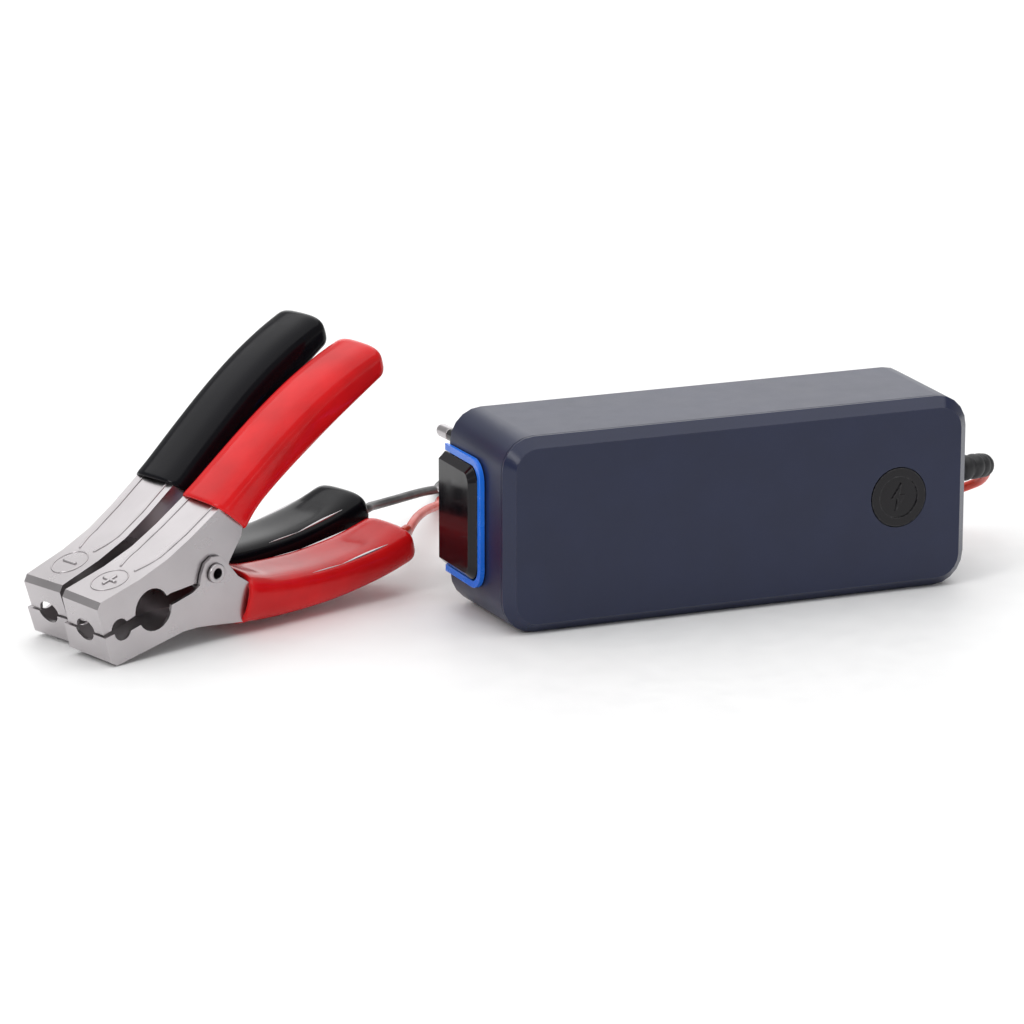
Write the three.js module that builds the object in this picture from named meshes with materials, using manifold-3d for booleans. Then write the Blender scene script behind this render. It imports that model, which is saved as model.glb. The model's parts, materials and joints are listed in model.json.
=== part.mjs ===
// Battery charger: a slim case that rests on one long side, an interchangeable mains plug adapter in its
// left end, a strain relief with two leads on its right, and a pair of sprung battery clamps.
// Millimetres, +Z up. Inside this file x runs along the case from its left end, y runs back from the front
// panel's edge and z rises from the floor; the last lines move the origin to the middle of the case's foot.

import * as THREE from 'three';
import { mergeVertices } from 'three/addons/utils/BufferGeometryUtils.js';
import Module from 'manifold-3d';

const wasm = await Module();
wasm.setup();

// ---------- driving dimensions ----------

const gap = 0.3; // air left between pieces that touch

const caseLength = 147.2;
const caseHeight = 57;
const caseDepth = 37.5;
const caseDraft = 0.9; // how far each drafted wall spreads by the back
const caseCorner = 9.6;
const caseWall = 2.2;
const backBevel = 1;
const frontBevel = 2.95;
const panelThickness = 2.4;
const seam = 0.8; // where the front panel ends, behind the bevel
const lipReach = 2.6; // the panel's lip goes this far inside the case
const lipThickness = 1.4;

const badgeX = 124.05;
const badgeZ = 28.55;
const badgeDiameter = 17.5;
const badgeInner = 12.3;
const badgeThickness = 1.2;

const plateReach = 4; // adapter plate beyond the case's left end
const plateBevel = 2;
const adapterLength = 28; // from the case's left end into the pocket
const adapterFront = 13.9;
const adapterBottom = 12.1;
const adapterTop = 45.5;
const adapterCorner = 4;
const trimWidth = 2;
const trimReach = 2;
const pocketWall = 1.6;

const turretReach = 36.5; // behind the case
const turretX = 19.4;
const turretWidth = 10;
const turretHeight = 30;
const turretRoot = 19; // its width where it leaves the adapter

const pinSpacing = 18.6; // at the turret's face; the pins lean together by their tips
const pinTipSpacing = 17.5;
const pinLength = 19;
const pinDiameter = 4;
const pinNeck = 2.6;
const sleeveLength = 10;

const contactSpacing = 9;
const inletPinDiameter = 2.4;
const inletPinReach = 7.5;

const bootDiameter = 8.8;
const bootCore = 5.6;
const bootRibs = 7;
const leadDiameter = 2.8;

const jawReach = 41;
const armWidth = 18.2; // lower arm, outside
const sheet = 1;
const rivetRadius = 2.35;
const gripWall = 1.5;
const gripStart = 10; // handle points beyond this x are inside the grip
const springRadius = 4.3;
const springWire = 1.4;

const coilMiddle = 15.5; // radius at the middle of the turns
const coilTurns = 5; // side by side in a layer
const tieThickness = 0.5;
const tieWidth = 7;
const coilX = 97;
const coilY = 84;

// ---------- colours ----------

const paint = (colour, roughness, metalness = 0) =>
  new THREE.MeshStandardMaterial({ color: colour, roughness, metalness });

const caseBlue = paint(0x2d303e, 0.5);
const glossBlack = paint(0x121317, 0.25);
const trimBlue = paint(0x2a6ee6, 0.3);
const boardGreen = paint(0x2c6a45, 0.5);
const partBlack = paint(0x222226, 0.5);
const ferrite = paint(0x3c3c40, 0.7);
const copper = paint(0xb5663a, 0.4, 0.8);
const canBlue = paint(0x2c3f6b, 0.4);
const alloy = paint(0xb4b6b9, 0.35, 0.9);
const nickel = paint(0xcbc7c6, 0.35, 0.9);
const fuseGlass = paint(0xd9ddd8, 0.2);
const redVinyl = paint(0xc3201f, 0.25);
const blackVinyl = paint(0x17181c, 0.25);
const redWire = paint(0xdb4a34, 0.35);
const blackWire = paint(0x1b1b1e, 0.35);
const bootBlack = paint(0x18181b, 0.6);

// ---------- solids ----------

const object = new THREE.Group();

function toSolid(geometry) {
  const bare = geometry.clone();
  bare.deleteAttribute('normal');
  bare.deleteAttribute('uv');
  const merged = mergeVertices(bare, 1e-4);
  return new wasm.Manifold(new wasm.Mesh({
    numProp: 3,
    vertProperties: new Float32Array(merged.attributes.position.array),
    triVerts: new Uint32Array(merged.index.array),
  }));
}

function toGeometry(solid) {
  const mesh = solid.getMesh();
  const geometry = new THREE.BufferGeometry();
  geometry.setAttribute('position', new THREE.BufferAttribute(mesh.vertProperties, 3));
  geometry.setIndex(new THREE.BufferAttribute(mesh.triVerts, 1));
  const flat = geometry.toNonIndexed();
  flat.computeVertexNormals();
  return flat;
}

const join = (first, ...rest) => rest.reduce((sum, g) => sum.add(toSolid(g)), toSolid(first));

const cut = (solid, ...tools) => tools.reduce((left, g) => left.subtract(toSolid(g)), solid);

function add(name, shape, material, parent = object) {
  const geometry = shape.isBufferGeometry ? shape : toGeometry(shape);
  const mesh = new THREE.Mesh(geometry, material.clone());
  mesh.name = name;
  parent.add(mesh);
  return mesh;
}

function box(x0, x1, y0, y1, z0, z1) {
  const geometry = new THREE.BoxGeometry(x1 - x0, y1 - y0, z1 - z0);
  return geometry.translate((x0 + x1) / 2, (y0 + y1) / 2, (z0 + z1) / 2);
}

function rodX(radius, x0, x1, y, z, sides = 20) {
  const geometry = new THREE.CylinderGeometry(radius, radius, x1 - x0, sides);
  return geometry.rotateZ(Math.PI / 2).translate((x0 + x1) / 2, y, z);
}

function rodY(radius, y0, y1, x, z, sides = 20) {
  return new THREE.CylinderGeometry(radius, radius, y1 - y0, sides).translate(x, (y0 + y1) / 2, z);
}

// A lathe profile of [radius, height] pairs, closed on itself or on the axis, turned about +Y.
const turned = (profile, sides = 20) =>
  new THREE.LatheGeometry(profile.map(([r, h]) => new THREE.Vector2(r, h)), sides);

// A shape drawn in (x, z).
const outline = (list) => new THREE.Shape(list.map(([x, z]) => new THREE.Vector2(x, z)));

// Points round a rectangle with round corners, in the plane y, seen from the front.
function roundRect({ x0, x1, y, z0, z1, r }, cornerSteps) {
  const centres = [[x1 - r, z1 - r], [x0 + r, z1 - r], [x0 + r, z0 + r], [x1 - r, z0 + r]];
  return centres.flatMap(([cx, cz], quarter) =>
    Array.from({ length: cornerSteps + 1 }, (_, i) => {
      const a = (quarter + i / cornerSteps) * (Math.PI / 2);
      return new THREE.Vector3(cx + r * Math.cos(a), y, cz + r * Math.sin(a));
    }));
}

// A closed solid through rounded rectangles that follow each other along +Y.
function loft(sections, cornerSteps = 5) {
  const rings = sections.map((section) => roundRect(section, cornerSteps));
  const count = rings[0].length;
  const index = [];
  for (let s = 0; s + 1 < rings.length; s += 1) {
    for (let i = 0; i < count; i += 1) {
      const a = s * count + i;
      const b = s * count + ((i + 1) % count);
      index.push(a, b, a + count, b, b + count, a + count);
    }
  }
  const last = (rings.length - 1) * count;
  for (let i = 1; i + 1 < count; i += 1) {
    index.push(0, i + 1, i);
    index.push(last, last + i, last + i + 1);
  }
  for (let i = 0; i < index.length; i += 3) {
    [index[i + 1], index[i + 2]] = [index[i + 2], index[i + 1]];
  }
  const geometry = new THREE.BufferGeometry().setFromPoints(rings.flat());
  return geometry.setIndex(index);
}

// ---------- case ----------

// The case's outline at depth y, shrunk by inset: its floor is level and its other walls spread.
function caseSection(y, inset = 0) {
  const spread = caseDraft * Math.max(0, y / caseDepth);
  return {
    x0: inset - spread,
    x1: caseLength - inset + spread,
    y,
    z0: inset,
    z1: caseHeight - inset + spread,
    r: Math.max(caseCorner - inset, 1),
  };
}

const screwInset = 8.2; // from the case's foot; its right end and its top have almost the same
const screwRight = caseLength - 8.6;
const screwTop = caseHeight - 7.8;
const screwLeft = adapterLength + 9;
const screwSpots = [
  [screwLeft, screwInset], [screwLeft, screwTop], [screwRight, screwInset], [screwRight, screwTop],
];
const screwBoss = 4;
const screwShank = 1.2;
const screwHead = 2.7;
const bossEnd = 27; // y where the back bosses meet the front posts
const headSeat = 33.5;

const pocket = {
  y0: adapterFront - gap,
  y1: caseDepth,
  z0: adapterBottom - gap,
  z1: adapterTop + gap,
  x1: adapterLength + gap,
};
const contactY = 25.7;
const contactZ = (adapterBottom + adapterTop) / 2;
const contactHeights = [['upper', contactZ + contactSpacing / 2], ['lower', contactZ - contactSpacing / 2]];
const bootY = 19.5;
const bootZ = 28.7;

// The pocket's block runs along X, so its round corners are drawn in Y and Z and turned.
function pocketBlock(inset, x0, x1, corner) {
  const shape = new THREE.Shape();
  const [y0, y1, z0, z1] = [pocket.y0 - inset, pocket.y1 + 1, pocket.z0 - inset, pocket.z1 + inset];
  shape.moveTo(y1, z0);
  shape.lineTo(y1, z1);
  shape.lineTo(y0 + corner, z1);
  shape.absarc(y0 + corner, z1 - corner, corner, Math.PI / 2, Math.PI, false);
  shape.absarc(y0 + corner, z0 + corner, corner, Math.PI, Math.PI * 1.5, false);
  shape.closePath();
  return alongX(shape, x0, x1);
}

// Extrudes a shape drawn in (y, z) from x0 to x1.
function alongX(shape, x0, x1, options = {}) {
  const geometry = new THREE.ExtrudeGeometry(shape, {
    depth: x1 - x0, bevelEnabled: false, curveSegments: 6, ...options,
  });
  const turn = new THREE.Matrix4().set(0, 0, 1, x0, 1, 0, 0, 0, 0, 1, 0, 0, 0, 0, 0, 1);
  return geometry.applyMatrix4(turn);
}

function makeCaseBack() {
  const outer = loft([
    caseSection(seam + gap), caseSection(caseDepth - backBevel), caseSection(caseDepth, backBevel),
  ]);
  const inner = loft([caseSection(seam, caseWall), caseSection(caseDepth - caseWall, caseWall)]);
  const outside = toSolid(outer);
  const insideWalls = pocketBlock(pocketWall, -2, pocket.x1 + pocketWall, adapterCorner + gap + pocketWall);
  const bosses = screwSpots.map(([x, z]) => rodY(screwBoss, bossEnd, caseDepth - 1, x, z));
  const standoffs = [boardLeft + 7, boardRight - 7].flatMap((x) =>
    [boardFoot + 6.5, boardTop - 6.8].map((z) => rodY(2.5, boardBack + gap, caseDepth - 1, x, z, 12)));
  const fittings = join(insideWalls, ...bosses, ...standoffs).intersect(outside);
  const body = cut(outside, inner).add(fittings);
  const holes = screwSpots.flatMap(([x, z]) => [
    rodY(screwHead + gap, headSeat, caseDepth + 1, x, z),
    rodY(screwShank + gap, bossEnd - 1, caseDepth, x, z, 12),
  ]);
  const pinHoles = contactHeights.map(([, z]) =>
    rodX(inletPinDiameter / 2 + gap, pocket.x1 - 1, pocket.x1 + pocketWall + 1, contactY, z, 12));
  const bootHole = rodX(bootCore / 2 + gap, caseLength - 4, caseLength + 3, bootY, bootZ);
  const pocketHole = pocketBlock(0, -3, pocket.x1, adapterCorner + gap);
  return cut(body, pocketHole, bootHole, ...pinHoles, ...holes);
}

function makeCaseFront() {
  const panel = loft([caseSection(-frontBevel, frontBevel), caseSection(0), caseSection(seam)]);
  const lipInset = caseWall + gap;
  const lip = toSolid(loft([caseSection(seam - 0.4, lipInset), caseSection(seam + lipReach, lipInset)]));
  const lipHole = loft([
    caseSection(seam - 1, lipInset + lipThickness), caseSection(seam + 3, lipInset + lipThickness),
  ]);
  const panelBack = panelThickness - frontBevel;
  const hollow = loft([
    caseSection(panelBack, frontBevel + 1.2), caseSection(seam + 1, frontBevel + 1.2),
  ]);
  const posts = screwSpots.map(([x, z]) => rodY(screwBoss - 0.6, panelBack - 0.5, bossEnd - gap, x, z));
  const solid = posts.reduce((sum, g) => sum.add(toSolid(g)),
    cut(toSolid(panel), hollow).add(cut(lip, lipHole)));
  const bores = screwSpots.map(([x, z]) => rodY(screwShank + gap, 8, bossEnd + 1, x, z, 12));
  const seatBack = badgeThickness - frontBevel;
  const seat = rodY(badgeDiameter / 2 + gap, -frontBevel - 1, seatBack, badgeX, badgeZ, 32);
  return cut(solid, seat, ...bores);
}

function makeBadge() {
  const face = -frontBevel;
  const disc = rodY(badgeDiameter / 2, face + gap, face + badgeThickness - gap, badgeX, badgeZ, 32);
  const ring = cut(toSolid(rodY(badgeDiameter / 2, face - 0.15, face + 0.6, badgeX, badgeZ, 40)),
    rodY(badgeInner / 2, face - 1, face + 1, badgeX, badgeZ, 40));
  const bolt = outline([[0.9, 4.2], [-2.2, -0.5], [-0.3, -0.5], [-0.9, -4.2], [2.2, 0.6], [0.3, 0.6]]);
  const mark = new THREE.ExtrudeGeometry(bolt, { depth: 0.7, bevelEnabled: false });
  mark.rotateX(Math.PI / 2).translate(badgeX, face + 0.55, badgeZ);
  return ring.add(toSolid(disc)).add(toSolid(mark));
}

function makeScrew() {
  const headHeight = 2;
  return turned([
    [0, -20], [screwShank, -19], [screwShank, 0], [screwHead, 0], [screwHead, headHeight - 0.6],
    [screwHead - 0.8, headHeight], [1, headHeight], [0.9, headHeight - 1], [0, headHeight - 1],
  ], 16);
}

// ---------- mains plug adapter ----------

function makeTrim() {
  const outer = pocketBlock(trimWidth, -trimReach, 0.5, adapterCorner + gap + trimWidth);
  const inner = pocketBlock(0, -trimReach - 1, 2, adapterCorner + gap);
  const reach = caseSection(caseDepth, 0);
  const wedge = toSolid(loft([caseSection(1, -gap), caseSection(caseDepth + 3, -gap)]));
  const slab = toSolid(box(reach.x0 - 6, reach.x0 + 6, 5, caseDepth, 5, 52));
  return cut(toSolid(outer), inner).intersect(slab).subtract(wedge);
}

function adapterOutline(inset) {
  const shape = new THREE.Shape();
  const r = adapterCorner - inset / 2;
  const [y0, y1, z0, z1] = [adapterFront + inset, caseDepth, adapterBottom + inset, adapterTop - inset];
  shape.moveTo(y1, z0);
  shape.lineTo(y1, z1);
  shape.lineTo(y0 + r, z1);
  shape.absarc(y0 + r, z1 - r, r, Math.PI / 2, Math.PI, false);
  shape.absarc(y0 + r, z0 + r, r, Math.PI, Math.PI * 1.5, false);
  shape.closePath();
  return shape;
}

// The plate's face is bevelled on its three free edges and straight where it meets the back.
function bevelledPlate() {
  const big = new THREE.ExtrudeGeometry(adapterOutline(plateBevel), {
    depth: adapterLength - plateBevel,
    bevelEnabled: true,
    bevelSegments: 1,
    bevelThickness: plateBevel,
    bevelSize: plateBevel,
    curveSegments: 6,
  });
  const face = plateBevel - plateReach;
  const turn = new THREE.Matrix4().set(0, 0, 1, face, 1, 0, 0, 0, 0, 1, 0, 0, 0, 0, 0, 1);
  const slab = toSolid(box(-plateReach - 1, adapterLength, 0, caseDepth, 0, 60));
  return toSolid(big.applyMatrix4(turn)).intersect(slab);
}

function turretSection(y, width, height, r) {
  const z = (adapterBottom + adapterTop) / 2;
  return { x0: turretX - width / 2, x1: turretX + width / 2, y, z0: z - height / 2, z1: z + height / 2, r };
}

const turretFace = caseDepth + turretReach;
const turretZ = (adapterBottom + adapterTop) / 2;
const pinLean = Math.atan((pinSpacing - pinTipSpacing) / 2 / pinLength);

// Places a piece turned about +Y on a mains pin's axis; side is 1 for the upper pin and -1 for the lower.
function onPinAxis(geometry, side) {
  const z = turretZ + (side * pinSpacing) / 2;
  return geometry.rotateX(-side * pinLean).translate(turretX, turretFace, z);
}

function makeAdapterShell() {
  const fullHeight = adapterTop - adapterBottom;
  const turret = loft([
    turretSection(caseDepth - 4, turretRoot - 2, fullHeight, adapterCorner),
    turretSection(caseDepth + 1, turretRoot - 2, fullHeight, adapterCorner),
    turretSection(turretFace - 1.2, turretWidth, turretHeight, turretWidth / 2 - 0.1),
    turretSection(turretFace, turretWidth - 2, turretHeight - 2, turretWidth / 2 - 1.1),
  ]);
  const tubeBores = contactHeights.map(([, z]) =>
    rodX(inletPinDiameter / 2 + 1.4, 14, adapterLength + 1, contactY, z, 16));
  const neckBores = [1, -1].map((side) => onPinAxis(rodY(pinNeck / 2 + gap, -12.4, 3, 0, 0, 16), side));
  return cut(bevelledPlate().add(toSolid(turret)), ...tubeBores, ...neckBores);
}

function makeMainsPin(side) {
  const r = pinDiameter / 2;
  const neck = pinNeck / 2;
  return onPinAxis(turned([[0, -12], [neck, -12], [neck, sleeveLength + gap], [r, sleeveLength + gap],
    [r, pinLength - 1.6], [r * 0.87, pinLength - 0.8], [r * 0.5, pinLength - 0.2], [0, pinLength]]), side);
}

function makePinSleeve(side) {
  const bore = pinNeck / 2 + gap;
  return onPinAxis(turned([[bore, gap], [pinDiameter / 2, gap], [pinDiameter / 2, sleeveLength],
    [bore, sleeveLength], [bore, gap]]), side);
}

function makeContactTube(z) {
  const outer = toSolid(rodX(inletPinDiameter / 2 + 1.1, 14.4, adapterLength - 0.4, contactY, z, 16));
  return cut(outer, rodX(inletPinDiameter / 2 + gap, 17, adapterLength + 1, contactY, z, 16));
}

// ---------- electronics ----------

const boardFront = 30;
const boardBack = 31.6;
const boardLeft = 43;
const boardRight = caseLength - 14.2;
const boardFoot = 5.5;
const boardTop = caseHeight - 5.2;
const onBoard = boardFront - gap;

function can(name, x, z, radius, height) {
  const profile = [[0, 0], [radius, 0], [radius, 0.8 * height], [radius - 0.4, 0.82 * height],
    [radius, 0.84 * height], [radius, height - 0.6], [radius - 0.8, height], [0, height]];
  add(name, turned(profile, 20).rotateX(Math.PI).translate(x, onBoard, z), canBlue);
}

function makeHeatSink(x, z) {
  const plate = box(x, x + 2, onBoard - 20, onBoard, z, z + 30);
  const fins = Array.from({ length: 4 }, (_, i) => {
    const foot = z + 1 + i * 8.6;
    return box(x + 1, x + 9, onBoard - 20, onBoard, foot, foot + 1.6);
  });
  return join(plate, ...fins);
}

function makeTransformerCore(x, z) {
  const outer = toSolid(box(x - 15, x + 15, onBoard - 20, onBoard - 1, z - 12, z + 12));
  const window = toSolid(box(x - 10.6, x + 10.6, onBoard - 17, onBoard - 4, z - 20, z + 20));
  const post = toSolid(rodY(4.2, onBoard - 18, onBoard - 3, x, z, 16));
  return outer.subtract(window).add(post);
}

function addElectronics() {
  add('circuit_board', box(boardLeft, boardRight, boardFront, boardBack, boardFoot, boardTop), boardGreen);
  const socketHoles = contactHeights.map(([, z]) =>
    rodX(inletPinDiameter / 2 + gap, 29, 40, contactY, z, 12));
  add('inlet_socket', cut(toSolid(box(30.5, 34.6, 20, 31.4, 20, 37.6)), ...socketHoles), partBlack);
  contactHeights.forEach(([where, z]) => {
    const tip = pocket.x1 - inletPinReach;
    add(`inlet_pin_${where}`, rodX(inletPinDiameter / 2, tip, 35.6, contactY, z, 12), alloy);
  });
  const transformerX = 86;
  const transformerZ = 28;
  add('transformer_core', makeTransformerCore(transformerX, transformerZ), ferrite);
  const [top, foot] = [onBoard - 17 + gap, onBoard - 4 - gap];
  add('transformer_winding', turned([[4.5, top], [10.2, top], [10.2, foot], [4.5, foot], [4.5, top]], 24)
    .translate(transformerX, 0, transformerZ), copper);
  can('input_capacitor', boardLeft + 17, boardTop - 12.8, 8, 24);
  can('output_capacitor_a', boardRight - 21, boardTop - 10.8, 5, 16);
  can('output_capacitor_b', boardRight - 9, boardTop - 10.8, 5, 16);
  add('line_choke', new THREE.TorusGeometry(6.2, 2.6, 10, 20).rotateX(Math.PI / 2)
    .translate(58, onBoard - 2.7, 21), copper);
  add('line_fuse', rodX(2.5, 46, 66, onBoard - 2.6, 8.6, 14), fuseGlass);
  add('heat_sink', makeHeatSink(104, 6), alloy);
  add('power_transistor', box(101.2, 104 - gap, onBoard - 16, onBoard - 2, 15, 25), partBlack);
  const led = turned([[0, 0], [2.5, 0], [2.5, 24], [1.8, 25.6], [0, 26.4]], 14);
  add('status_led', led.rotateX(Math.PI).translate(badgeX, onBoard, badgeZ - 1), fuseGlass);
}

// ---------- strain relief and leads ----------

const points = (list) => list.map(([x, y, z]) => new THREE.Vector3(x, y, z));
const curve = (list) => new THREE.CatmullRomCurve3(points(list), false, 'centripetal');

// The boot's centre line: straight out of the right end, then bent back behind the case.
const bootRoute = [
  [caseLength + 0.2, bootY, bootZ], [caseLength + 7.4, bootY + 0.3, bootZ],
  [caseLength + 14.4, bootY + 1.9, bootZ - 0.2], [caseLength + 19.8, bootY + 5.9, bootZ - 1.3],
  [caseLength + 23.2, bootY + 11.7, bootZ - 3.1],
];

// Each lead leaves the boot side by side with the other, goes down to its coil and on to its clamp.
const redFromCase = [
  [172.2, 31.2, 25.3], [174.9, 36.6, 21.8], [176, 42.4, 17.8], [173.8, 47.8, 14.8], [168.6, 51.8, 11.8],
  [161, 54.6, 8.9], [151, 57, 6.2], [141, 60.6, 4.1], [131.8, 66.4, 2.8], [124.8, 72.4, 2.3],
  [121.8, 78.4, 2.3],
];
const blackFromCase = [
  [169.2, 33, 25.3], [170.3, 37.6, 24], [169.8, 43, 21.8], [166.6, 47.8, 19.2], [161, 51.2, 16.6],
  [153, 53.6, 14.2], [143, 56.6, 11.8], [133.4, 61.6, 10], [125.8, 69, 9.1], [121.8, 78, 8.8],
];
const redToClamp = [
  [92.6, 108.7, 5.2], [81, 112, 3.8], [71, 118.6, 2.2], [63.4, 127.4, 1.5], [59, 136.6, 1.5],
  [55.3, 143.4, 1.5], [50, 147.2, 1.5], [43.5, 146.6, 1.6], [38.8, 141.2, 2.2], [33.2, 128, 4.6],
  [19.3, 105, 9.5], [10.5, 90.5, 11.6], [4.6, 80.6, 12], [0.4, 73, 12], [-3.2, 65.6, 13.8],
  [-5.6, 59.6, 16.6], [-6.2, 57, 17.9],
];
const blackToClamp = [
  [91.6, 109, 11.6], [82, 113.8, 8.6], [74, 123, 4.6], [69, 134, 2], [66.4, 146, 1.5], [64, 155.8, 1.5],
  [61, 162.1, 1.5], [55.1, 165, 1.5], [48.9, 163.3, 1.5], [45, 158, 1.8], [41, 148, 4], [29.5, 132, 8],
  [18.9, 118, 11.1], [12, 109, 13], [5.2, 101, 14.6], [-0.8, 94, 16], [-5.6, 87.6, 17.4], [-8.6, 82, 18.5],
];

function tube(list, radius = leadDiameter / 2, sides = 8) {
  const path = curve(list);
  const section = new THREE.Shape(Array.from({ length: sides }, (_, i) => {
    const a = (i / sides) * Math.PI * 2;
    return new THREE.Vector2(radius * Math.cos(a), radius * Math.sin(a));
  }));
  const steps = Math.ceil(path.getLength() / (radius * 5));
  return new THREE.ExtrudeGeometry(section, { steps, bevelEnabled: false, extrudePath: path });
}

function makeStrainRelief() {
  const path = curve(bootRoute);
  const wallFace = caseLength - caseWall;
  const neck = rodX(bootCore / 2, wallFace - 1.2, caseLength + 1, bootY, bootZ, 12);
  const flange = rodX(bootDiameter / 2, wallFace - 2.6, wallFace - 0.4, bootY, bootZ, 12);
  const ribs = Array.from({ length: bootRibs }, (_, i) => {
    const along = (i + 0.62) / bootRibs;
    const thickness = 2;
    const radius = bootDiameter / 2 - (0.9 * i) / bootRibs;
    const rib = turned([[0, -thickness / 2], [radius - 0.5, -thickness / 2], [radius, -0.3], [radius, 0.3],
      [radius - 0.5, thickness / 2], [0, thickness / 2]], 12);
    const turn = new THREE.Quaternion().setFromUnitVectors(
      new THREE.Vector3(0, 1, 0), path.getTangentAt(along));
    return rib.applyQuaternion(turn).translate(...path.getPointAt(along).toArray());
  });
  return join(tube(bootRoute, bootCore / 2, 10), neck, flange, ...ribs);
}

const coilHalf = (coilTurns * leadDiameter) / 2 + 0.3;
const coilHeight = leadDiameter * 2 + 0.1;
const coilFoot = tieThickness + gap + 0.05;

// The outer shape of one lead's coil: coilTurns turns side by side, two layers high.
function makeCoil(foot) {
  const [inner, outer] = [coilMiddle - coilHalf, coilMiddle + coilHalf];
  return turned([[inner, 0], [outer, 0], [outer, coilHeight], [inner, coilHeight], [inner, 0]], 28)
    .rotateX(Math.PI / 2).translate(coilX, coilY, foot);
}

// A strap round both coils, on the side that faces the case.
function makeTie() {
  const half = tieWidth / 2;
  const near = Math.sqrt((coilMiddle - coilHalf) ** 2 - half ** 2) - 2 * gap;
  const far = coilMiddle + coilHalf + gap;
  const top = coilFoot + 2 * coilHeight + 2 * gap;
  const band = box(coilX - half, coilX + half, coilY - far - tieThickness, coilY - near + tieThickness,
    coilFoot - gap - tieThickness, top + tieThickness);
  const room = box(coilX - tieWidth, coilX + tieWidth, coilY - far, coilY - near, coilFoot - gap, top);
  return cut(toSolid(band), room);
}

// ---------- battery clamps ----------

// A clamp is drawn closed in its own frame: the pivot is the origin, the jaws point to -X, the hinge
// runs along Y and the mouth line is z = 0. Its outlines are drawn in (x, z).

function acrossY(shape, width, options = {}) {
  const geometry = new THREE.ExtrudeGeometry(shape, {
    depth: width, bevelEnabled: false, curveSegments: 8, ...options,
  });
  return geometry.rotateX(Math.PI / 2).translate(0, width / 2, 0);
}

const smallNotch = { x: -34.6, z: -0.7, r: 3 };
const largeNotch = { x: -22.7, z: -0.5, r: 6 };
const toothTop = 0.2;
const toothBottom = -2.2;

const upperBack = [
  [-24.7, 9.9], [-14, 11], [-4, 13.4], [9, 17.4], [27.5, 22.6], [38.4, 26.2], [54, 30.6], [68.6, 34],
];
const upperFree = [[68.6, 27], [54, 23], [32, 17.2], [15, 10.8], [12.4, 5.4], [6.4, 0]];
const lowerBack = [[-28, -10.6], [-15, -11.4], [-9.5, -12.8], [-3, -15.4], [7.6, -19.8],
  [24, -24.6], [38, -27.6], [52, -29.2], [65, -29]];
const lowerFree = [[65, -22.4], [44, -19.6], [24, -14.6], [11, -9], [7.4, -4.8]];

const upperOutline = [
  [-jawReach + 0.6, toothTop - 0.1], [-jawReach + 0.6, 8.2], [-jawReach + 2.2, 9.8],
  ...upperBack, ...upperFree, [4.4, -3.6], [0, -5.6], [-4.6, -3.4], [-6.4, -0.6], [-15.4, 0.9],
];
const lowerOutline = [
  [-jawReach, -0.2], [-jawReach, -8], [-jawReach + 1.8, -9.8], ...lowerBack, ...lowerFree,
  [4.6, 1.4], [2.8, 4], [0, 5], [-2.8, 4.2], [-4.8, 1.6], [-6.2, -1.2], [-9, -1.9], [-15.4, -1.9],
];

// The channel's hollow: everything inside the web, the tip and the two flanges.
const upperHollow = [
  [-jawReach + 1.6, -20], [-jawReach + 1.6, 7.8], [-jawReach + 2.6, 8.8],
  ...upperBack.slice(0, -1).map(([x, z]) => [x + 0.2, z - sheet]), [80, 31.4], [80, -20],
];
const lowerHollow = [
  [-jawReach + 1, 20], [-jawReach + 1, -7.6], [-jawReach + 2.2, -8.8],
  ...lowerBack.slice(0, -1).map(([x, z]) => [x + 0.2, z + sheet]), [80, -28.2], [80, 20],
];

function makeArm(side, hollow, width, mouthZ) {
  const cutters = [
    acrossY(outline(hollow), width - 2 * sheet),
    rodY(rivetRadius + gap, -20, 20, 0, 0, 20),
    ...[smallNotch, largeNotch].map(({ x, z, r }) => rodY(r, -20, 20, x, z, 24)),
    rodX(3.1, -jawReach - 3, -jawReach + 4, 0, mouthZ, 20).scale(1, 1.25, 1),
  ];
  return cut(toSolid(acrossY(outline(side), width)), ...cutters);
}

// The gap between the teeth of the two arms.
function toothGap(z0, z1) {
  return box(smallNotch.x, largeNotch.x, -20, 20, z0, z1);
}

function gripOutline(back, free, side) {
  const start = back.findIndex(([x]) => x > gripStart - 3);
  const outer = back.slice(start).map(([x, z]) => [x, z + side * (gap + gripWall)]);
  const inner = free.filter(([x]) => x > gripStart).map(([x, z]) => [x, z - side * (gap + gripWall)]);
  const end = 5;
  const [ox, oz] = outer[outer.length - 1];
  const [ix, iz] = inner[0];
  return { outer, inner, end: [[ox + end, oz - side * 2], [ix + end, iz + side * 2]] };
}

function makeGrip(back, free, side, width) {
  const { outer, inner, end } = gripOutline(back, free, side);
  const skin = outline([...outer, ...end, ...inner]);
  const bevel = 1.8;
  const wide = width + 2 * (gap + gripWall);
  const shell = new THREE.ExtrudeGeometry(skin, {
    depth: wide - 2 * bevel, bevelEnabled: true, bevelSegments: 2, bevelThickness: bevel,
    bevelSize: bevel, bevelOffset: -bevel, curveSegments: 4,
  }).rotateX(Math.PI / 2).translate(0, wide / 2 - bevel, 0);
  const roomOut = back.map(([x, z]) => [x, z + side * gap]);
  const roomIn = free.filter(([x]) => x > gripStart).map(([x, z]) => [x, z - side * gap]);
  const [lx, lz] = roomIn[roomIn.length - 1];
  const tip = [[roomOut[roomOut.length - 1][0] + gap, roomOut[roomOut.length - 1][1]],
    [roomIn[0][0] + gap, roomIn[0][1]]];
  const room = outline([...roomOut, ...tip, ...roomIn, [lx - 8, lz - side * 5]]);
  return cut(toSolid(shell), acrossY(room, width + 2 * gap));
}

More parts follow.
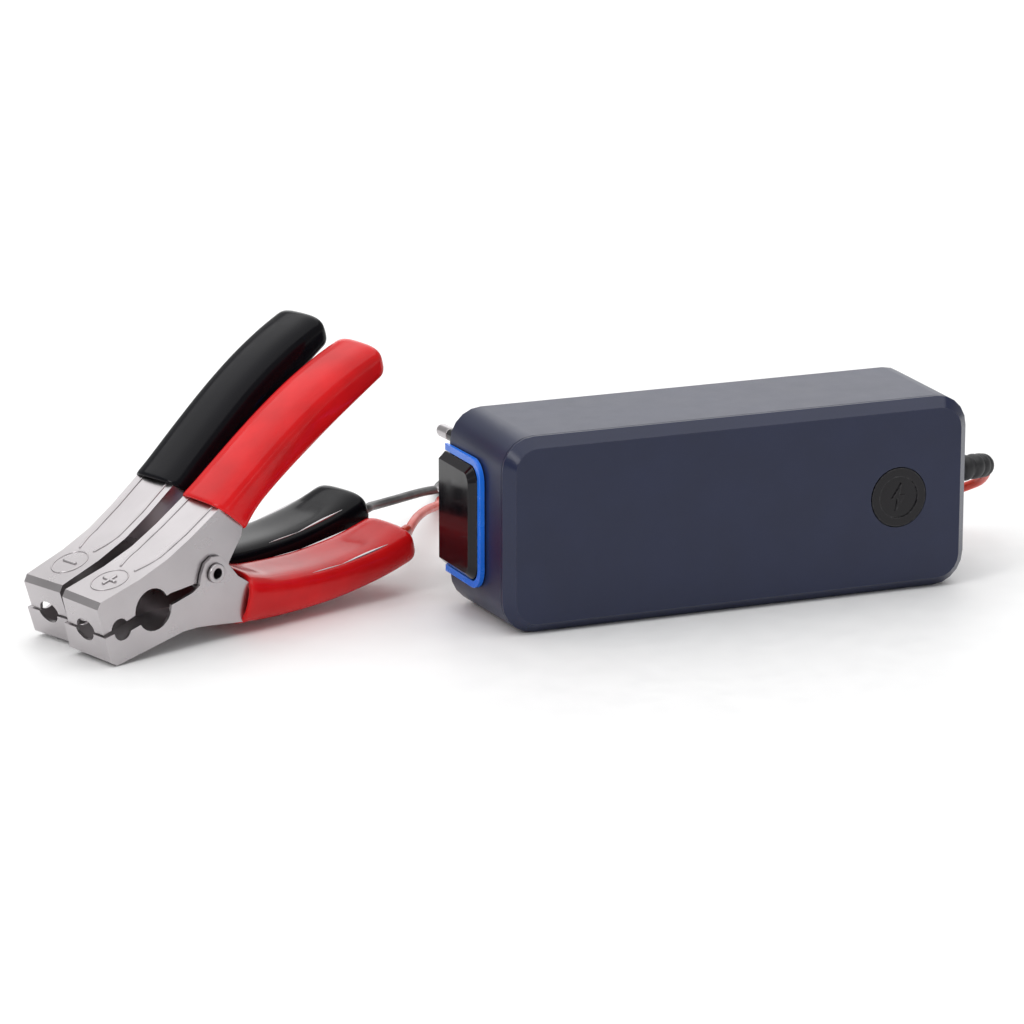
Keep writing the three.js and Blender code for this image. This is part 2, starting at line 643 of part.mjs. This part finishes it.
function makeRivet(width) {
  const half = width / 2 + gap;
  const head = 0.9;
  const bore = rivetRadius - 0.8;
  const flare = rivetRadius + 0.6;
  return turned([
    [bore, -half - head], [flare - 0.2, -half - head], [flare, -half], [rivetRadius, -half],
    [rivetRadius, half], [flare, half], [flare - 0.2, half + head], [bore, half + head], [bore, -half - head],
  ]);
}

// One wire: a leg on the upper web, turns round the rivet, a leg on the lower web.
function springRoute() {
  const turns = 4.5;
  const pitch = springWire + 0.2;
  const steps = 32;
  const legs = { upper: [[13, -3.7, 15.4], [8, -3.7, 11]], lower: [[7, 3.7, -14.4], [12, 3.7, -18]] };
  const wind = Array.from({ length: steps + 1 }, (_, i) => {
    const a = Math.PI * 0.25 + (i / steps) * turns * 2 * Math.PI;
    return [springRadius * Math.sin(a), (i / steps - 0.5) * turns * pitch, springRadius * Math.cos(a)];
  });
  return [...legs.upper, ...wind, ...legs.lower];
}

function makeCrimp() {
  const barrel = turned([[1.7, 0], [2.6, 0], [2.6, 9], [1.7, 9], [1.7, 0]], 14);
  return barrel.rotateZ(-Math.PI / 2).rotateY(0.2).translate(30, 0, -21.4);
}

function addClamp(name, vinyl, pose) {
  const clamp = new THREE.Group();
  const upperWidth = armWidth - 2 * (sheet + gap);
  const upperArm = makeArm(upperOutline, upperHollow, upperWidth, toothTop);
  const lowerArm = makeArm(lowerOutline, lowerHollow, armWidth, 0);
  add(`${name}_upper_arm`, cut(upperArm, toothGap(-6, toothTop)), nickel, clamp);
  add(`${name}_lower_arm`, cut(lowerArm, toothGap(toothBottom, 6)), nickel, clamp);
  add(`${name}_rivet`, makeRivet(armWidth), nickel, clamp);
  add(`${name}_spring`, tube(springRoute(), springWire / 2, 6), alloy, clamp);
  add(`${name}_upper_grip`, makeGrip(upperBack, upperFree, 1, upperWidth), vinyl, clamp);
  add(`${name}_lower_grip`, makeGrip(lowerBack, lowerFree, -1, armWidth), vinyl, clamp);
  add(`${name}_crimp`, makeCrimp(), alloy, clamp);
  const rad = THREE.MathUtils.degToRad;
  clamp.rotation.set(rad(pose.lean), rad(-pose.rise), rad(pose.turn), 'ZXY');
  clamp.position.set(pose.x, pose.y, 0);
  object.add(clamp);
  clamp.updateMatrixWorld(true);
  clamp.position.z = 0.02 - new THREE.Box3().setFromObject(clamp, true).min.z;
}

// ---------- the whole charger ----------

add('case_back', makeCaseBack(), caseBlue);
add('case_front', makeCaseFront(), caseBlue);
add('front_badge', makeBadge(), glossBlack);
screwSpots.forEach(([x, z], i) => {
  add(`case_screw_${i + 1}`, makeScrew(), alloy).position.set(x, headSeat + gap, z);
});
add('adapter_trim', makeTrim(), trimBlue);
add('adapter_shell', makeAdapterShell(), glossBlack);
contactHeights.forEach(([where, z]) => add(`adapter_contact_${where}`, makeContactTube(z), alloy));
[['upper', 1], ['lower', -1]].forEach(([where, side]) => {
  add(`mains_pin_${where}`, makeMainsPin(side), nickel);
  add(`mains_sleeve_${where}`, makePinSleeve(side), glossBlack);
});
addElectronics();
add('strain_relief', makeStrainRelief(), bootBlack);

addClamp('positive', redVinyl, { x: -80, y: 33.6, turn: 20.5, lean: 3, rise: 16.2 });
addClamp('negative', blackVinyl, { x: -84.4, y: 57.2, turn: 22, lean: 1, rise: 18.9 });

add('lead_red_case', tube(redFromCase), redWire);
add('lead_red_clamp', tube(redToClamp), redWire);
add('lead_black_case', tube(blackFromCase), blackWire);
add('lead_black_clamp', tube(blackToClamp), blackWire);
add('lead_red_coil', makeCoil(coilFoot), redWire);
add('lead_black_coil', makeCoil(coilFoot + coilHeight + gap), blackWire);
add('coil_tie', makeTie(), bootBlack);

object.position.set(-caseLength / 2, -caseDepth / 2, 0);

export default object;
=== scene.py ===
"""Looks for the battery charger: camera, leads, materials and fine detail over the CAD."""

import json
import math

import bmesh
import bpy
from mathutils import Matrix, Quaternion, Vector


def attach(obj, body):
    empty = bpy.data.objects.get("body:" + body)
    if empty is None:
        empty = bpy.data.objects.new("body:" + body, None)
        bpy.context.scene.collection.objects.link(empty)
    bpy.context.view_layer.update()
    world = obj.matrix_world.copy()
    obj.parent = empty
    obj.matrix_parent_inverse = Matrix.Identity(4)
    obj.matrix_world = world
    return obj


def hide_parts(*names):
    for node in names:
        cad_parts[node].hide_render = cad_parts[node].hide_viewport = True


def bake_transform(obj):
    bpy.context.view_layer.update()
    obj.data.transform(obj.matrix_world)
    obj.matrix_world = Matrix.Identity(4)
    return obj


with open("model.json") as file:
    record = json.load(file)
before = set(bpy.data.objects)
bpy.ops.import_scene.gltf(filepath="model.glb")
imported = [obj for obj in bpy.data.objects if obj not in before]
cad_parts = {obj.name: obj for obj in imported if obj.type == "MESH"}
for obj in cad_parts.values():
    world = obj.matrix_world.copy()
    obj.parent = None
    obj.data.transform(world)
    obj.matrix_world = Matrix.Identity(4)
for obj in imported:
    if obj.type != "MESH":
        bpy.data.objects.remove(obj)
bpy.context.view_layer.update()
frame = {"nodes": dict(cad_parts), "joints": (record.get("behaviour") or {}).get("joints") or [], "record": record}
nodes = frame["nodes"]
joints = {joint["name"]: joint for joint in frame["joints"]}

# The CAD routes are written in millimetres from the case's left front foot.
FOOT = Vector((73.6, 18.75, 0))


def place(point):
    return (Vector(point) - FOOT) / 1000


def link(thing):
    bpy.context.scene.collection.objects.link(thing)
    return thing


# ---------- camera ----------


SENSOR_MM = 36
LENS_MM = 162.51
CAMERA_PLACE = (-0.56538, -1.17573, 0.36283)
CAMERA_TILT = 75.43
CAMERA_TURN = -23.15


def add_camera():
    data = bpy.data.cameras.new("camera")
    data.sensor_width = SENSOR_MM
    data.lens = LENS_MM
    data.clip_start = 0.05
    camera = link(bpy.data.objects.new("camera", data))
    camera.location = CAMERA_PLACE
    camera.rotation_euler = (math.radians(CAMERA_TILT), 0, math.radians(CAMERA_TURN))
    bpy.context.scene.camera = camera


add_camera()

# ---------- materials ----------


class Nodes:
    """A material's node tree, with the few links that every finish here uses."""

    def __init__(self, name):
        self.material = bpy.data.materials.new(name)
        self.material.use_nodes = True
        self.tree = self.material.node_tree
        self.shader = self.tree.nodes["Principled BSDF"]
        self.coords = self.tree.nodes.new("ShaderNodeTexCoord").outputs["Object"]

    def new(self, kind, **inputs):
        node = self.tree.nodes.new(kind)
        for key, value in inputs.items():
            self.feed(node.inputs[key.replace("_", " ")], value)
        return node

    def feed(self, socket, value):
        if isinstance(value, bpy.types.NodeSocket):
            self.tree.links.new(value, socket)
        else:
            socket.default_value = value

    def noise(self, scale, detail=3.0, stretch=(1, 1, 1)):
        mapping = self.new("ShaderNodeMapping", Vector=self.coords, Scale=stretch)
        return self.new(
            "ShaderNodeTexNoise", Vector=mapping.outputs[0], Scale=scale, Detail=detail
        ).outputs["Fac"]

    def span(self, value, low, high, start=0.35, stop=0.65):
        node = self.tree.nodes.new("ShaderNodeMapRange")
        for key, number in (
            ("From Min", start),
            ("From Max", stop),
            ("To Min", low),
            ("To Max", high),
        ):
            node.inputs[key].default_value = number
        self.feed(node.inputs["Value"], value)
        return node.outputs["Result"]

    def mix(self, factor, first, second):
        node = self.tree.nodes.new("ShaderNodeMix")
        node.data_type = "RGBA"
        self.feed(node.inputs["Factor"], factor)
        self.feed(node.inputs[6], first)
        self.feed(node.inputs[7], second)
        return node.outputs[2]

    def maths(self, operation, first, second=0.0):
        node = self.tree.nodes.new("ShaderNodeMath")
        node.operation = operation
        self.feed(node.inputs[0], first)
        self.feed(node.inputs[1], second)
        return node.outputs[0]

    def edges(self, radius):
        """1 along sharp edges and 0 on flat faces: where handling wears a surface."""
        soft = self.new("ShaderNodeBevel", Radius=radius)
        true = self.tree.nodes.new("ShaderNodeNewGeometry").outputs["Normal"]
        dot = self.tree.nodes.new("ShaderNodeVectorMath")
        dot.operation = "DOT_PRODUCT"
        self.feed(dot.inputs[0], soft.outputs["Normal"])
        self.feed(dot.inputs[1], true)
        return self.span(dot.outputs["Value"], 1, 0, 0.86, 0.995)


WORN_EDGE = 0.0006
RELIEF_DEPTH = 0.0001
WORN_ROUGHNESS = 0.3
POLISHED = 0.16


def tint(colour, share):
    return tuple(min(1, channel * share) for channel in colour) + (1,)


def finish(
    name,
    colour,
    rough,
    metal=0.0,
    spread=0.06,
    shade=0.12,
    grain=2500,
    relief=0.1,
    stretch=(1, 1, 1),
    wear=0.25,
    **extra,
):
    """Colour that drifts a little, a fine relief, uneven gloss and lighter worn edges."""
    n = Nodes(name)
    drift = n.noise(60, 4)
    body = n.mix(n.span(drift, 0, 1), tint(colour, 1 - shade), tint(colour, 1 + shade))
    worn = n.maths("MULTIPLY", n.edges(WORN_EDGE), n.span(n.noise(900, 5), 0, wear))
    pale = tuple(channel * 0.6 + 0.22 for channel in colour) + (1,)
    n.feed(n.shader.inputs["Base Color"], n.mix(worn, body, pale))
    gloss = n.span(n.noise(140, 5, stretch), rough - spread, rough + spread)
    rougher = n.maths("MULTIPLY", worn, WORN_ROUGHNESS)
    n.feed(n.shader.inputs["Roughness"], n.maths("ADD", gloss, rougher))
    bump = n.new("ShaderNodeBump", Strength=relief, Distance=RELIEF_DEPTH)
    n.feed(bump.inputs["Height"], n.noise(grain, 2, stretch))
    n.feed(n.shader.inputs["Normal"], bump.outputs["Normal"])
    n.shader.inputs["Metallic"].default_value = metal
    for key, value in extra.items():
        n.shader.inputs[key.replace("_", " ")].default_value = value
    return n


def case_finish():
    """Satin spark-textured faces, and a polished bevel round the front panel."""
    n = finish(
        "case",
        (0.011, 0.016, 0.048),
        0.38,
        spread=0.012,
        grain=3200,
        relief=0.3,
        shade=0.06,
        wear=0.1,
        Specular_IOR_Level=0.4,
    )
    normal = n.tree.nodes.new("ShaderNodeNewGeometry").outputs["True Normal"]
    split = n.tree.nodes.new("ShaderNodeSeparateXYZ")
    n.feed(split.inputs[0], normal)
    facing = n.maths("ABSOLUTE", split.outputs["Y"])
    bevel = n.maths(
        "MULTIPLY", n.span(facing, 0, 1, 0.5, 0.6), n.span(facing, 1, 0, 0.8, 0.9)
    )
    satin = n.shader.inputs["Roughness"].links[0].from_socket
    polished = n.tree.nodes.new("ShaderNodeMix")
    n.feed(polished.inputs["Factor"], bevel)
    n.feed(polished.inputs[2], satin)
    n.feed(polished.inputs[3], POLISHED)
    n.feed(n.shader.inputs["Roughness"], polished.outputs[0])
    return n


FINISHES = {
    "case": case_finish(),
    "gloss_black": finish(
        "gloss_black", (0.006, 0.005, 0.007), 0.14, grain=700, relief=0.03, Specular_IOR_Level=0.3
    ),
    "trim_blue": finish(
        "trim_blue",
        (0.018, 0.20, 0.95),
        0.24,
        relief=0.04,
    ),
    "nickel": finish(
        "nickel",
        (0.50, 0.475, 0.485),
        0.3,
        1.0,
        spread=0.03,
        shade=0.04,
        grain=2600,
        relief=0.12,
        stretch=(0.06, 1, 1),
        wear=0.05,
    ),
    "alloy": finish("alloy", (0.55, 0.56, 0.58), 0.32, 1.0, grain=1500, wear=0.1),
    "red_vinyl": finish(
        "red_vinyl",
        (0.62, 0.008, 0.010),
        0.17,
        grain=260,
        relief=0.05,
        Specular_IOR_Level=0.25,
        Subsurface_Weight=0.06,
        Subsurface_Scale=0.002,
    ),
    "black_vinyl": finish(
        "black_vinyl",
        (0.004, 0.004, 0.006),
        0.16,
        grain=260,
        relief=0.05,
        Specular_IOR_Level=0.12,
    ),
    "red_wire": finish("red_wire", (0.62, 0.045, 0.020), 0.36, grain=600, relief=0.08),
    "black_wire": finish(
        "black_wire", (0.007, 0.007, 0.008), 0.38, grain=600, relief=0.08, Specular_IOR_Level=0.3
    ),
    "boot": finish("boot", (0.013, 0.013, 0.015), 0.5, grain=1800, relief=0.2),
    "board": finish("board", (0.02, 0.13, 0.06), 0.4, grain=900),
    "component": finish("component", (0.02, 0.02, 0.022), 0.5, grain=1600),
    "ferrite": finish("ferrite", (0.045, 0.045, 0.05), 0.65, grain=1600, relief=0.25),
    "copper": finish(
        "copper", (0.55, 0.17, 0.07), 0.3, 0.9, grain=1600, relief=0.4, stretch=(1, 4, 1)
    ),
    "capacitor": finish("capacitor", (0.02, 0.03, 0.11), 0.35, grain=900),
    "clear": finish("clear", (0.75, 0.78, 0.76), 0.12, grain=600, Transmission_Weight=0.6),
}


def paint(piece, slot):
    piece.data.materials.clear()
    piece.data.materials.append(FINISHES[slot].material)
    return piece


# ---------- tubes and cords ----------


def smooth_path(route, per_span=8):
    """Points on a centripetal Catmull-Rom curve through the route."""
    pts = [Vector(p) for p in route]
    pts = [pts[0] * 2 - pts[1], *pts, pts[-1] * 2 - pts[-2]]
    out = []
    for a, b, c, d in zip(pts, pts[1:], pts[2:], pts[3:]):
        t0 = 0.0
        t1 = t0 + (b - a).length ** 0.5
        t2 = t1 + (c - b).length ** 0.5
        t3 = t2 + (d - c).length ** 0.5
        for i in range(per_span):
            t = t1 + (t2 - t1) * i / per_span
            p = a.lerp(b, (t - t0) / (t1 - t0))
            q = b.lerp(c, (t - t1) / (t2 - t1))
            r = c.lerp(d, (t - t2) / (t3 - t2))
            p = p.lerp(q, (t - t0) / (t2 - t0))
            q = q.lerp(r, (t - t1) / (t3 - t1))
            out.append(p.lerp(q, (t - t1) / (t2 - t1)))
    return [*out, pts[-2]]


def tube_faces(rings, sides):
    """The faces of a closed tube with this many rings, its two ends last."""
    faces = []
    for i in range(rings - 1):
        low, high = i * sides, (i + 1) * sides
        for k in range(sides):
            after = (k + 1) % sides
            faces.append((low + k, low + after, high + after, high + k))
    last = (rings - 1) * sides
    return [*faces, tuple(reversed(range(sides))), tuple(range(last, last + sides))]


def sweep(name, path, radius_at, sides=16):
    """A closed tube along path, in metres; radius_at gives its radius at a share of the way."""
    tangents = [
        (path[min(i + 1, len(path) - 1)] - path[max(i - 1, 0)]).normalized()
        for i in range(len(path))
    ]
    across = tangents[0].orthogonal().normalized()
    vertices = []
    for i, (point, along) in enumerate(zip(path, tangents)):
        if i:
            across = tangents[i - 1].rotation_difference(along) @ across
        radius = radius_at(i / (len(path) - 1))
        for k in range(sides):
            turn = Quaternion(along, 2 * math.pi * k / sides)
            vertices.append(point + (turn @ across) * radius)
    mesh = bpy.data.meshes.new(name)
    mesh.from_pydata(vertices, [], tube_faces(len(path), sides))
    mesh.shade_smooth()
    return link(bpy.data.objects.new(name, mesh))


LEAD = 2.8
COIL_CENTRE = (97, 84)
COIL_INNER = 9.9
COIL_OUTER = 21.1
LAYER_RISE = 2.9


def coil_route(foot):
    """One layer wound inwards, a climb, and a layer wound outwards on top of it."""
    low = foot + LEAD / 2
    high = low + LAYER_RISE
    second_outer = 20.45
    legs = [
        (-4, 45, 24.6, COIL_OUTER, low, low),
        (45, 1485, COIL_OUTER, COIL_INNER, low, low),
        (1485, 1593, COIL_INNER, COIL_INNER, low, high),
        (1593, 2950, COIL_INNER, second_outer, high, high),
        (2950, 2974, second_outer, 24.0, high, high),
    ]
    out = []
    for start, stop, r0, r1, z0, z1 in legs:
        count = max(2, round((stop - start) / 15))
        for i in range(count):
            t = i / count
            ease = t * t * (3 - 2 * t)
            a = math.radians(start + (stop - start) * t)
            r = r0 + (r1 - r0) * (ease if z0 == z1 and stop - start < 60 else t)
            x, y = COIL_CENTRE
            out.append((x + r * math.cos(a), y + r * math.sin(a), z0 + (z1 - z0) * ease))
    return out


RED_ROUTE = [
    (170.2, 28, 26.6), (171.2, 29.6, 26.1), (172.2, 31.2, 25.3),
    (174.9, 36.6, 21.8), (176, 42.4, 17.8),
    (173.8, 47.8, 14.8), (168.6, 51.8, 11.8), (161, 54.6, 8.9), (151, 57, 6.2), (141, 60.6, 4.1),
    (131.8, 66.4, 2.8), (124.8, 72.4, 2.3), *coil_route(0.85), (92.6, 108.7, 5.2), (81, 112, 3.8),
    (71, 118.6, 2.2), (63.4, 127.4, 1.5), (59, 136.6, 1.5), (55.3, 143.4, 1.5), (50, 147.2, 1.5),
    (43.5, 146.6, 1.6), (38.8, 141.2, 2.2), (33.2, 128, 4.6), (19.3, 105, 9.5), (10.5, 90.5, 11.6),
    (4.6, 80.6, 12), (0.4, 73, 12), (-3.2, 65.6, 13.8), (-5.6, 59.6, 16.6), (-6.4, 56.4, 18.1),
    (-9.2, 53.4, 18.2),
]
BLACK_ROUTE = [
    (167.4, 29.6, 26.4), (168.3, 31.2, 25.9), (169.2, 33, 25.3),
    (170.3, 37.6, 24), (169.8, 43, 21.8),
    (166.6, 47.8, 19.2), (161, 51.2, 16.6), (153, 53.6, 14.2), (143, 56.6, 11.8), (133.4, 61.6, 10),
    (125.8, 69, 9.1), *coil_route(6.85), (91.6, 109, 11.6), (82, 113.8, 8.6), (74, 123, 4.6),
    (69, 134, 2), (66.4, 146, 1.5), (64, 155.8, 1.5), (61, 162.1, 1.5), (55.1, 165, 1.5),
    (48.9, 163.3, 1.5), (45, 158, 1.8), (41, 148, 4), (29.5, 132, 8), (18.9, 118, 11.1),
    (12, 109, 13), (5.2, 101, 14.6), (-0.8, 94, 16), (-5.6, 87.6, 17.4), (-8.8, 81.8, 18.6),
    (-12.2, 78.4, 19.2),
]


def add_lead(colour, route):
    path = [place(p) for p in smooth_path(route, 4)]
    name = f"{colour}_lead"
    data = bpy.data.curves.new(name, "CURVE")
    data.dimensions = "3D"
    data.bevel_depth = LEAD / 2000
    data.bevel_resolution = 4
    data.use_fill_caps = True
    spline = data.splines.new("POLY")
    spline.points.add(len(path) - 1)
    for point, where in zip(spline.points, path):
        point.co = (*where, 1)
    spline.use_smooth = True
    lead = link(bpy.data.objects.new(name, data))
    paint(lead, f"{colour}_wire")
    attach(lead, "charger")
    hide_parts(*(f"lead_{colour}_{part}" for part in ("case", "coil", "clamp")))
    return lead, path


BOOT_ROUTE = [
    (146, 19.5, 28.7), (147.4, 19.5, 28.7), (154.6, 19.8, 28.7),
    (161.6, 21.4, 28.5), (167, 25.4, 27.4),
    (170.4, 31.2, 25.6),
]
BOOT_RIBS = 9


def add_boot():
    """A tapered rubber sleeve with rounded ribs, narrow between them."""

    def radius_at(t):
        crest = max(0.0, math.sin(math.pi * (BOOT_RIBS * t % 1))) ** 0.6
        core = 2.95 - 0.1 * t
        return (core + (4.4 - 0.9 * t - core) * crest) / 1000

    path = [place(p) for p in smooth_path(BOOT_ROUTE, 24)]
    boot = paint(sweep("ribbed_boot", path, radius_at, 28), "boot")
    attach(boot, "charger")
    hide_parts("strain_relief")
    return boot


def add_leads():
    boot = add_boot()
    for colour, route in (("red", RED_ROUTE), ("black", BLACK_ROUTE)):
        lead, path = add_lead(colour, route)


add_leads()

# ---------- clamps' own frame ----------

POSES = {"positive": (20.5, 3, 16.2), "negative": (22, 1, 18.9)}


def clamp_matrix(name):
    turn, lean, rise = (math.radians(angle) for angle in POSES[name])
    spin = Matrix.Rotation(turn, 4, "Z") @ Matrix.Rotation(lean, 4, "X")
    spin = spin @ Matrix.Rotation(-rise, 4, "Y")
    pivot = Vector(joints[f"{name}_jaw_hinge"]["pos_m"])
    return Matrix.Translation(pivot) @ spin @ Matrix.Scale(0.001, 4)


# ---------- CAD nodes ----------


def modifier(piece, kind, **settings):
    made = piece.modifiers.new(kind.lower(), kind)
    for key, value in settings.items():
        setattr(made, key, value)
    return made


def dress(name, slot):
    """A CAD node's finish, with its edges broken."""
    piece = paint(nodes[name], slot)
    with bpy.context.temp_override(object=piece, active_object=piece):
        bpy.ops.mesh.customdata_custom_splitnormals_clear()
    piece.data.shade_smooth()
    modifier(piece, "WELD", merge_threshold=0.000002)
    width = 0.0003 if name.endswith("_arm") else 0.0002
    modifier(
        piece, "BEVEL", width=width, segments=2, limit_method="ANGLE", angle_limit=math.radians(32)
    )
    modifier(piece, "WEIGHTED_NORMAL", keep_sharp=True)


for part in frame["record"]["subparts"]:
    dress(part["node"], part["material_slot"])

# ---------- dipped vinyl grips ----------

# Each grip's two edges in the clamp's frame, (x, z): away from the mouth line, then towards it.
GRIPS = {
    "upper": {
        "far": [
            (6, 18.2), (17, 22.6), (28, 26.9), (40, 31.2), (52, 34.6), (63, 36.6), (71.5, 37.4),
        ],
        "near": [
            (14.8, 5.8), (21, 9.8), (31, 13.8), (41, 17), (52, 20.4), (63, 23.6), (71.5, 26.2),
        ],
        "width": 9.7,
    },
    "lower": {
        "far": [
            (4.4, -20), (15, -23.9), (27, -27.3), (39, -30), (51, -31.7), (61, -32.5),
            (68.5, -32.5),
        ],
        "near": [
            (11.6, -6.8), (20, -10.5), (30, -14), (40, -16.9), (50, -18.9), (60, -20.2),
            (68.5, -20.6),
        ],
        "width": 10.9,
    },
}
SIDES = 40
ROUND_POWER = 0.62


def signed(value, power):
    return math.copysign(abs(value) ** power, value)


END_DEPTH = 3.2
HOLLOW = 1.1


def ring(far, near, half_width, inset, push, dish):
    """A rounded cross-section from the far edge to the near one, in the clamp's frame."""
    far, near = Vector((far[0], 0, far[1])), Vector((near[0], 0, near[1]))
    middle, up = (far + near) / 2, (far - near).normalized()
    ahead = Vector((abs(up.z), 0, -up.x if up.z > 0 else up.x))
    half = (far - near).length / 2 - inset
    out = []
    for k in range(SIDES):
        a = 2 * math.pi * k / SIDES
        u, v = signed(math.cos(a), ROUND_POWER), signed(math.sin(a), ROUND_POWER)
        sag = dish * max(0.0, -u) * (1 - v * v)
        aside = Vector((0, v * (half_width - inset), 0))
        out.append(middle + ahead * push + up * (half * u + sag) + aside)
    return out


def grip_rings(far, near, half_width):
    """From inside the sleeve's mouth, round its rolled lip, along the handle and over its end."""
    far = [(p.x, p.z) for p in smooth_path([(x, 0, z) for x, z in far], 4)]
    near = [(p.x, p.z) for p in smooth_path([(x, 0, z) for x, z in near], 4)]
    rings = [
        ring(far[0], near[0], half_width, 1.5, 6, 0),
        ring(far[0], near[0], half_width, 1.5, 0.6, 0),
        ring(far[0], near[0], half_width, 1.0, -0.1, 0),
        ring(far[0], near[0], half_width, 0.35, -0.1, 0),
    ]
    last = len(far) - 1
    for i, (a, b) in enumerate(zip(far, near)):
        swell = 0.35 * math.exp(-i / 1.5)
        hollow = HOLLOW * min(1, i / 4) * min(1, (last - i) / 6)
        narrow = 1 - 0.03 * i / last
        rings.append(ring(a, b, half_width * narrow, -swell, 0, hollow))
    for share in (0.3, 0.55, 0.75, 0.9, 1.0):
        inset = END_DEPTH * (1 - math.sqrt(1 - share * share))
        rings.append(ring(far[-1], near[-1], half_width * 0.97, inset, END_DEPTH * share, 0))
    return rings


def add_grip(clamp, part, body):
    spec = GRIPS[part]
    pose = clamp_matrix(clamp)
    rings = grip_rings(spec["far"], spec["near"], spec["width"])
    vertices = [pose @ point for section in rings for point in section]
    name = f"{clamp}_{part}_dipped_grip"
    mesh = bpy.data.meshes.new(name)
    mesh.from_pydata(vertices, [], tube_faces(len(rings), SIDES))
    shell = bmesh.new()
    shell.from_mesh(mesh)
    bmesh.ops.recalc_face_normals(shell, faces=shell.faces)
    shell.to_mesh(mesh)
    shell.free()
    mesh.shade_smooth()
    grip = link(bpy.data.objects.new(name, mesh))
    modifier(grip, "SUBSURF", levels=1, render_levels=1)
    paint(grip, "red_vinyl" if clamp == "positive" else "black_vinyl")
    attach(grip, body)
    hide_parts(f"{clamp}_{part}_grip")


for side in POSES:
    add_grip(side, "upper", f"{side}_jaw")
    add_grip(side, "lower", "charger")

# ---------- clamp detail ----------

WEB = [(-41, 9.85), (-24.7, 9.9), (-14, 11), (-4, 13.4), (9, 17.4)]


def on_web(x, y, lift=0.0):
    """A point on the upper arm's web, in the clamp's own frame."""
    for (x0, z0), (x1, z1) in zip(WEB, WEB[1:]):
        if x <= x1:
            return Vector((x, y, z0 + (z1 - z0) * (x - x0) / (x1 - x0) + lift))
    return Vector((x, y, WEB[-1][1] + lift))


def bead(name, clamp, points, radius, closed=False):
    pose = clamp_matrix(clamp)
    loop = [*points, points[0]] if closed else points
    path = [pose @ p for p in smooth_path(loop, 5)]
    piece = sweep(name, path, lambda t: radius / 1000, 10)
    paint(piece, "nickel")
    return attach(piece, f"{clamp}_jaw")


def add_pressings(clamp):
    """The web's pressed outline, its polarity mark and the stiffening ribs behind it."""
    mark = -29
    oval = [
        on_web(mark + 5.6 * math.cos(a), 4.9 * math.sin(a))
        for a in (math.radians(20 * i) for i in range(18))
    ]
    bead(f"{clamp}_mark_ring", clamp, oval, 0.24, closed=True)
    bead(f"{clamp}_mark_bar", clamp, [on_web(mark, y) for y in (-2.5, 0, 2.5)], 0.5)
    if clamp == "positive":
        cross = [on_web(mark + x, 0) for x in (-2.5, 0, 2.5)]
        bead(f"{clamp}_mark_cross", clamp, cross, 0.5)
    for side, label in ((-1, "near"), (1, "far")):
        run = [(-22.4, 3.0), (-18, 4.3), (-14, 4.8), (-9, 5.0), (-4, 5.1), (2, 5.1), (8, 5.1)]
        rib = [on_web(x, side * y) for x, y in run]
        bead(f"{clamp}_rib_{label}", clamp, rib, 0.34)


def add_spring(clamp):
    """The torsion spring: one round wire that bends between the two arms."""
    turns, pitch, radius = 4.5, 1.6, 4.3
    wind = []
    for i in range(55):
        t = i / 54
        a = math.pi / 4 + t * turns * 2 * math.pi
        wind.append((radius * math.sin(a), (t - 0.5) * turns * pitch, radius * math.cos(a)))
    route = [(13, -3.7, 15.4), (8, -3.7, 11), *wind, (7, 3.7, -14.4), (12, 3.7, -18)]
    pose = clamp_matrix(clamp)
    path = [pose @ p for p in smooth_path(route, 3)]
    spring = paint(sweep(f"{clamp}_spring_wire", path, lambda t: 0.0007, 12), "alloy")
    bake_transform(spring)
    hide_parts(f"{clamp}_spring")


for side in POSES:
    add_pressings(side)
    add_spring(side)

# ---------- floor and light ----------


def add_floor():
    mesh = bpy.data.meshes.new("floor")
    half = 4
    mesh.from_pydata(
        [(-half, -half, 0), (half, -half, 0), (half, half, 0), (-half, half, 0)], [], [(0, 1, 2, 3)]
    )
    floor = link(bpy.data.objects.new("floor", mesh))
    floor.location.z = -0.0002
    pale = (0.90, 0.90, 0.90)
    surface = finish("floor", pale, 0.55, shade=0.01, grain=300, relief=0.01, wear=0)
    mesh.materials.append(surface.material)


def add_light(name, location, target, size, power):
    data = bpy.data.lights.new(name, "AREA")
    data.size = size
    data.energy = power
    light = link(bpy.data.objects.new(name, data))
    light.location = location
    aim = Vector(target) - Vector(location)
    light.rotation_euler = aim.to_track_quat("-Z", "Y").to_euler()


SURROUND = 0.42


def add_world():
    world = bpy.data.worlds.new("studio")
    bpy.context.scene.world = world
    world.use_nodes = True
    background = world.node_tree.nodes["Background"]
    background.inputs["Color"].default_value = (1, 1, 1, 1)
    background.inputs["Strength"].default_value = SURROUND


# The plain colour transform keeps the pale floor white and the vinyl saturated.
bpy.context.scene.view_settings.view_transform = "Standard"
add_floor()
add_world()
# Each light's name, place, aim, size in metres and power in watts.
LIGHTS = [
    ("top", (-0.1, 0.5, 1.5), (-0.1, 0.5, 0), 3.0, 35),
    ("back", (0.9, 2.1, 0.75), (0, 0, 0), 1.4, 7),
    ("key", (-1.3, -0.5, 0.9), (-0.05, 0, 0.02), 0.5, 5),
    ("fill", (0.5, -1.7, 0.5), (0, 0, 0.02), 0.6, 1.5),
]
for light in LIGHTS:
    add_light(*light)
